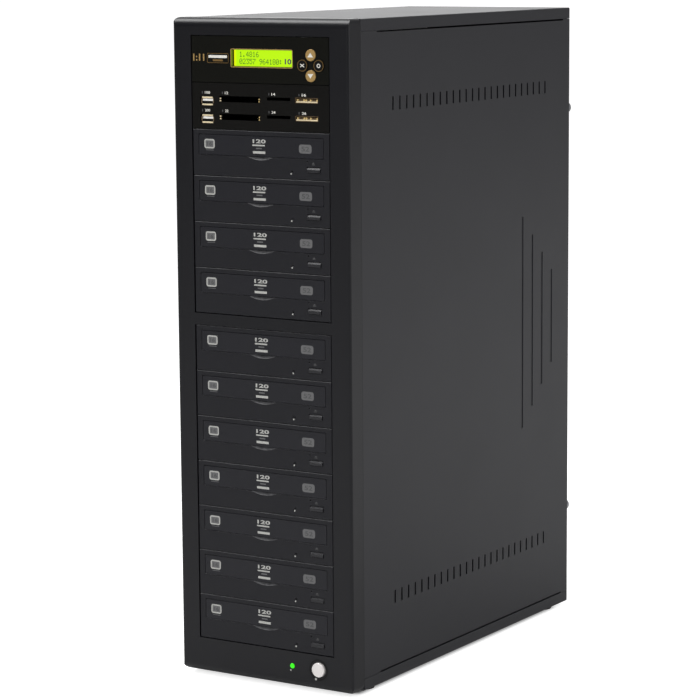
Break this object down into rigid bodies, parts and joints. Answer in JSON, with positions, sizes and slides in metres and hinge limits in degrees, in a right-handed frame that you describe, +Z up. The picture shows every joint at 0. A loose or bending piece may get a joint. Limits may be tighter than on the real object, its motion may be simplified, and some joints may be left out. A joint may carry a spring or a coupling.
{
  "type": "disc duplicator tower",
  "caption": "Tall free standing tower that copies discs: a display panel with round keys, a card reader panel and a stack of drives with sliding trays in a steel case.",
  "frame": {"origin": "middle of the tower's footprint, on the plane that its feet stand on", "axes": "+Z up, the front with the drives faces -Y, +X to the right when looking at the front"},
  "size_m": [0.19, 0.4288, 0.618],
  "materials": {
    "bezel_plastic": "fine satin, black",
    "case_paint": "fine texture powder coat, black",
    "chassis_steel": "zinc plated",
    "drive_plastic": "fine satin, black",
    "tray_plastic": "fine satin, black",
    "eject_plastic": "satin, black",
    "panel_gloss": "gloss, black",
    "reader_plastic": "semi gloss, black",
    "display_lit": "lit, yellow green",
    "key_gold": "satin, gold",
    "key_black": "satin, black",
    "socket_metal": "gold plated contacts and black shells",
    "circuit_green": "solder mask, green",
    "button_silver": "silver",
    "lamp_green": "lit, green",
    "inlet_plastic": "satin, black",
    "rocker_plastic": "gloss, black",
    "fan_plastic": "satin, black",
    "foot_rubber": "matte, black",
    "screw_steel": "zinc plated"
  },
  "bodies": {
    "tower": {"front_bezel": "bezel_plastic", "power_lamp": "lamp_green", "top_cover": "case_paint", "base_pan": "case_paint", "rear_panel": "case_paint", "drive_cage": "chassis_steel", "drive_cases": "chassis_steel", "controller_panel": "panel_gloss", "lcd_module": "display_lit", "card_reader_panel": "reader_plastic", "card_sockets": "socket_metal", "circuit_boards": "circuit_green", "psu_housing": "chassis_steel", "psu_inlet": "inlet_plastic", "rear_fan_frame": "fan_plastic", "feet": "foot_rubber", "screws": "screw_steel", "drive_bezel_01": "drive_plastic", "drive_bezel_02": "drive_plastic", "drive_bezel_03": "drive_plastic", "drive_bezel_04": "drive_plastic", "drive_bezel_05": "drive_plastic", "drive_bezel_06": "drive_plastic", "drive_bezel_07": "drive_plastic", "drive_bezel_08": "drive_plastic", "drive_bezel_09": "drive_plastic", "drive_bezel_10": "drive_plastic", "drive_bezel_11": "drive_plastic"},
    "power_button": {"power_button": "button_silver"},
    "key_up": {"key_up": "key_gold"},
    "key_down": {"key_down": "key_gold"},
    "key_back": {"key_back": "key_black"},
    "key_enter": {"key_enter": "key_black"},
    "right_side_panel": {"right_side_panel": "case_paint"},
    "left_side_panel": {"left_side_panel": "case_paint"},
    "psu_rocker": {"psu_rocker": "rocker_plastic"},
    "psu_fan_rotor": {"psu_fan_rotor": "fan_plastic"},
    "rear_fan_rotor": {"rear_fan_rotor": "fan_plastic"},
    "tray_01": {"tray_01": "tray_plastic"},
    "eject_button_01": {"eject_button_01": "eject_plastic"},
    "tray_02": {"tray_02": "tray_plastic"},
    "eject_button_02": {"eject_button_02": "eject_plastic"},
    "tray_03": {"tray_03": "tray_plastic"},
    "eject_button_03": {"eject_button_03": "eject_plastic"},
    "tray_04": {"tray_04": "tray_plastic"},
    "eject_button_04": {"eject_button_04": "eject_plastic"},
    "tray_05": {"tray_05": "tray_plastic"},
    "eject_button_05": {"eject_button_05": "eject_plastic"},
    "tray_06": {"tray_06": "tray_plastic"},
    "eject_button_06": {"eject_button_06": "eject_plastic"},
    "tray_07": {"tray_07": "tray_plastic"},
    "eject_button_07": {"eject_button_07": "eject_plastic"},
    "tray_08": {"tray_08": "tray_plastic"},
    "eject_button_08": {"eject_button_08": "eject_plastic"},
    "tray_09": {"tray_09": "tray_plastic"},
    "eject_button_09": {"eject_button_09": "eject_plastic"},
    "tray_10": {"tray_10": "tray_plastic"},
    "eject_button_10": {"eject_button_10": "eject_plastic"},
    "tray_11": {"tray_11": "tray_plastic"},
    "eject_button_11": {"eject_button_11": "eject_plastic"}
  },
  "joints": [
    {"name": "tray_01_slide", "type": "slide", "parent": "tower", "child": "tray_01", "axis": [0, -1, 0], "range_m": [0, 0.135]},
    {"name": "tray_02_slide", "type": "slide", "parent": "tower", "child": "tray_02", "axis": [0, -1, 0], "range_m": [0, 0.135]},
    {"name": "tray_03_slide", "type": "slide", "parent": "tower", "child": "tray_03", "axis": [0, -1, 0], "range_m": [0, 0.135]},
    {"name": "tray_04_slide", "type": "slide", "parent": "tower", "child": "tray_04", "axis": [0, -1, 0], "range_m": [0, 0.135]},
    {"name": "tray_05_slide", "type": "slide", "parent": "tower", "child": "tray_05", "axis": [0, -1, 0], "range_m": [0, 0.135]},
    {"name": "tray_06_slide", "type": "slide", "parent": "tower", "child": "tray_06", "axis": [0, -1, 0], "range_m": [0, 0.135]},
    {"name": "tray_07_slide", "type": "slide", "parent": "tower", "child": "tray_07", "axis": [0, -1, 0], "range_m": [0, 0.135]},
    {"name": "tray_08_slide", "type": "slide", "parent": "tower", "child": "tray_08", "axis": [0, -1, 0], "range_m": [0, 0.135]},
    {"name": "tray_09_slide", "type": "slide", "parent": "tower", "child": "tray_09", "axis": [0, -1, 0], "range_m": [0, 0.135]},
    {"name": "tray_10_slide", "type": "slide", "parent": "tower", "child": "tray_10", "axis": [0, -1, 0], "range_m": [0, 0.135]},
    {"name": "tray_11_slide", "type": "slide", "parent": "tower", "child": "tray_11", "axis": [0, -1, 0], "range_m": [0, 0.135]},
    {"name": "eject_button_01_press", "type": "slide", "parent": "tower", "child": "eject_button_01", "axis": [0, 1, 0], "range_m": [0, 0.0012], "stiffness_N_per_m": 900, "springref_m": -0.0005},
    {"name": "eject_button_02_press", "type": "slide", "parent": "tower", "child": "eject_button_02", "axis": [0, 1, 0], "range_m": [0, 0.0012], "stiffness_N_per_m": 900, "springref_m": -0.0005},
    {"name": "eject_button_03_press", "type": "slide", "parent": "tower", "child": "eject_button_03", "axis": [0, 1, 0], "range_m": [0, 0.0012], "stiffness_N_per_m": 900, "springref_m": -0.0005},
    {"name": "eject_button_04_press", "type": "slide", "parent": "tower", "child": "eject_button_04", "axis": [0, 1, 0], "range_m": [0, 0.0012], "stiffness_N_per_m": 900, "springref_m": -0.0005},
    {"name": "eject_button_05_press", "type": "slide", "parent": "tower", "child": "eject_button_05", "axis": [0, 1, 0], "range_m": [0, 0.0012], "stiffness_N_per_m": 900, "springref_m": -0.0005},
    {"name": "eject_button_06_press", "type": "slide", "parent": "tower", "child": "eject_button_06", "axis": [0, 1, 0], "range_m": [0, 0.0012], "stiffness_N_per_m": 900, "springref_m": -0.0005},
    {"name": "eject_button_07_press", "type": "slide", "parent": "tower", "child": "eject_button_07", "axis": [0, 1, 0], "range_m": [0, 0.0012], "stiffness_N_per_m": 900, "springref_m": -0.0005},
    {"name": "eject_button_08_press", "type": "slide", "parent": "tower", "child": "eject_button_08", "axis": [0, 1, 0], "range_m": [0, 0.0012], "stiffness_N_per_m": 900, "springref_m": -0.0005},
    {"name": "eject_button_09_press", "type": "slide", "parent": "tower", "child": "eject_button_09", "axis": [0, 1, 0], "range_m": [0, 0.0012], "stiffness_N_per_m": 900, "springref_m": -0.0005},
    {"name": "eject_button_10_press", "type": "slide", "parent": "tower", "child": "eject_button_10", "axis": [0, 1, 0], "range_m": [0, 0.0012], "stiffness_N_per_m": 900, "springref_m": -0.0005},
    {"name": "eject_button_11_press", "type": "slide", "parent": "tower", "child": "eject_button_11", "axis": [0, 1, 0], "range_m": [0, 0.0012], "stiffness_N_per_m": 900, "springref_m": -0.0005},
    {"name": "key_up_press", "type": "slide", "parent": "tower", "child": "key_up", "axis": [0, 1, 0], "range_m": [0, 0.001], "stiffness_N_per_m": 1200, "springref_m": -0.0005},
    {"name": "key_down_press", "type": "slide", "parent": "tower", "child": "key_down", "axis": [0, 1, 0], "range_m": [0, 0.001], "stiffness_N_per_m": 1200, "springref_m": -0.0005},
    {"name": "key_back_press", "type": "slide", "parent": "tower", "child": "key_back", "axis": [0, 1, 0], "range_m": [0, 0.001], "stiffness_N_per_m": 1200, "springref_m": -0.0005},
    {"name": "key_enter_press", "type": "slide", "parent": "tower", "child": "key_enter", "axis": [0, 1, 0], "range_m": [0, 0.001], "stiffness_N_per_m": 1200, "springref_m": -0.0005},
    {"name": "power_button_press", "type": "slide", "parent": "tower", "child": "power_button", "axis": [0, 1, 0], "range_m": [0, 0.0025], "stiffness_N_per_m": 900, "springref_m": -0.0008},
    {"name": "right_side_panel_slide", "type": "slide", "parent": "tower", "child": "right_side_panel", "axis": [0, 1, 0], "range_m": [0, 0.018]},
    {"name": "left_side_panel_slide", "type": "slide", "parent": "tower", "child": "left_side_panel", "axis": [0, 1, 0], "range_m": [0, 0.018]},
    {"name": "psu_rocker_tilt", "type": "hinge", "parent": "tower", "child": "psu_rocker", "pos_m": [0.046, 0.2021, 0.033], "axis": [-1, 0, 0], "range_deg": [0, 18]},
    {"name": "psu_fan_spin", "type": "hinge", "parent": "tower", "child": "psu_fan_rotor", "pos_m": [-0.03, 0.1961, 0.048], "axis": [0, 1, 0], "continuous": true},
    {"name": "rear_fan_spin", "type": "hinge", "parent": "tower", "child": "rear_fan_rotor", "pos_m": [0, 0.1941, 0.42], "axis": [0, 1, 0], "continuous": true}
  ]
}
